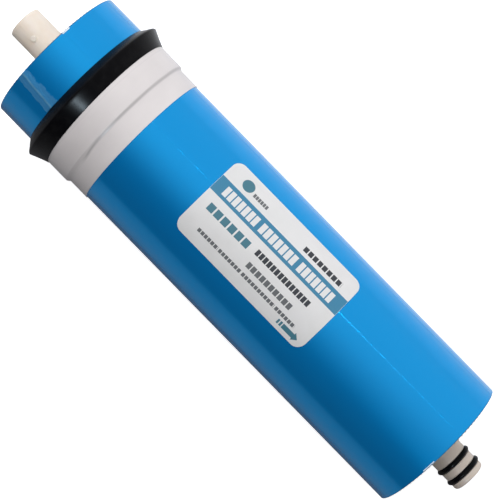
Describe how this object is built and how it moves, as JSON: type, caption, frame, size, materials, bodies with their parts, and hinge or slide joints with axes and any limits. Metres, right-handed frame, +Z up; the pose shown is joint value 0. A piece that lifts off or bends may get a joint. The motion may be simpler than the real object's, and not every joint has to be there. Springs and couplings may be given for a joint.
{
  "type": "reverse osmosis membrane element",
  "caption": "Spiral-wound membrane cartridge with a blue film wrap, a flared rubber brine seal under white tape, and a centre tube with an O-ring outlet stub.",
  "frame": {"origin": "on the resting plane, under the middle of the element's length", "axes": "+X along the centre tube towards the O-ring outlet stub, +Z up; the label lies on the upper side"},
  "size_m": [0.298, 0.0828, 0.0828],
  "materials": {
    "tube_plastic": "cream moulded plastic, satin",
    "plug_plastic": "cream moulded plastic",
    "pin_plastic": "pale moulded plastic",
    "ring_rubber": "black O-ring rubber, slightly shiny",
    "carrier_cloth": "white knitted cloth, resin soaked at the ends",
    "membrane_sheet": "off-white coated sheet",
    "spacer_net": "natural plastic net",
    "blue_film": "glossy blue film",
    "seal_rubber": "black rubber, satin",
    "white_tape": "white film tape, slightly glossy",
    "label_paper": "pale label stock, smooth"
  },
  "bodies": {
    "root": {"permeate_tube": "tube_plastic", "tube_plug": "plug_plastic", "plug_lock_pin": "pin_plastic", "plug_o_ring": "ring_rubber", "o_ring_inner": "ring_rubber", "o_ring_outer": "ring_rubber", "permeate_carrier_1": "carrier_cloth", "membrane_leaf_1": "membrane_sheet", "feed_spacer_1": "spacer_net", "permeate_carrier_2": "carrier_cloth", "membrane_leaf_2": "membrane_sheet", "feed_spacer_2": "spacer_net", "permeate_carrier_3": "carrier_cloth", "membrane_leaf_3": "membrane_sheet", "feed_spacer_3": "spacer_net", "permeate_carrier_4": "carrier_cloth", "membrane_leaf_4": "membrane_sheet", "feed_spacer_4": "spacer_net", "film_wrap": "blue_film", "brine_seal": "seal_rubber", "seal_tape": "white_tape", "label": "label_paper"}
  },
  "joints": []
}
